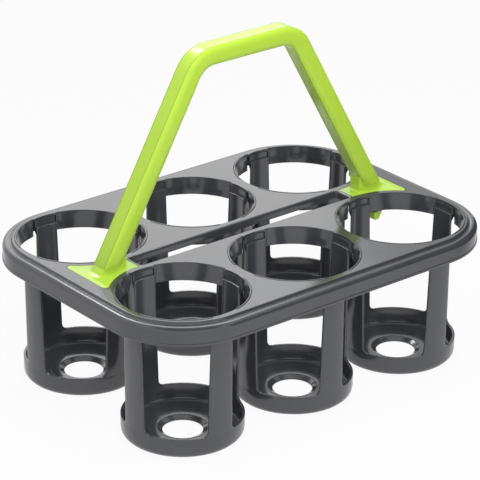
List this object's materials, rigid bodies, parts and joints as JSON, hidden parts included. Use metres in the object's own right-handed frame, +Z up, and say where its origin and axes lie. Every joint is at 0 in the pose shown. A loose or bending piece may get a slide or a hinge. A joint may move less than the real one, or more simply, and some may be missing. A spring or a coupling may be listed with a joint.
{
  "type": "bottle carrier",
  "caption": "Moulded bottle carrier: a flat tray with round cups on struts, a skirted rim and a trapezoid handle clipped in along the middle.",
  "frame": {"origin": "on the ground, under the middle of the tray", "axes": "+X along a row of cups, +Y across the rows to the rear, +Z up"},
  "size_m": [0.343, 0.252, 0.2756],
  "materials": {
    "grey_plastic": "gloss",
    "green_plastic": "gloss"
  },
  "bodies": {
    "carrier": {"tray_deck": "grey_plastic", "rim_skirt": "grey_plastic", "slot_walls": "grey_plastic", "socket_left": "grey_plastic", "socket_right": "grey_plastic", "collar_front_left": "grey_plastic", "collar_front_middle": "grey_plastic", "collar_front_right": "grey_plastic", "collar_rear_left": "grey_plastic", "collar_rear_middle": "grey_plastic", "collar_rear_right": "grey_plastic", "struts_front_left": "grey_plastic", "struts_front_middle": "grey_plastic", "struts_front_right": "grey_plastic", "struts_rear_left": "grey_plastic", "struts_rear_middle": "grey_plastic", "struts_rear_right": "grey_plastic", "seat_front_left": "grey_plastic", "seat_front_middle": "grey_plastic", "seat_front_right": "grey_plastic", "seat_rear_left": "grey_plastic", "seat_rear_middle": "grey_plastic", "seat_rear_right": "grey_plastic"},
    "handle": {"handle_bail": "green_plastic", "handle_foot_left": "green_plastic", "handle_foot_right": "green_plastic", "snap_tongue_left": "green_plastic", "snap_tongue_right": "green_plastic"}
  },
  "joints": [
    {"name": "handle_lift", "type": "slide", "parent": "carrier", "child": "handle", "axis": [0, 0, 1], "range_m": [0, 0.04]}
  ]
}
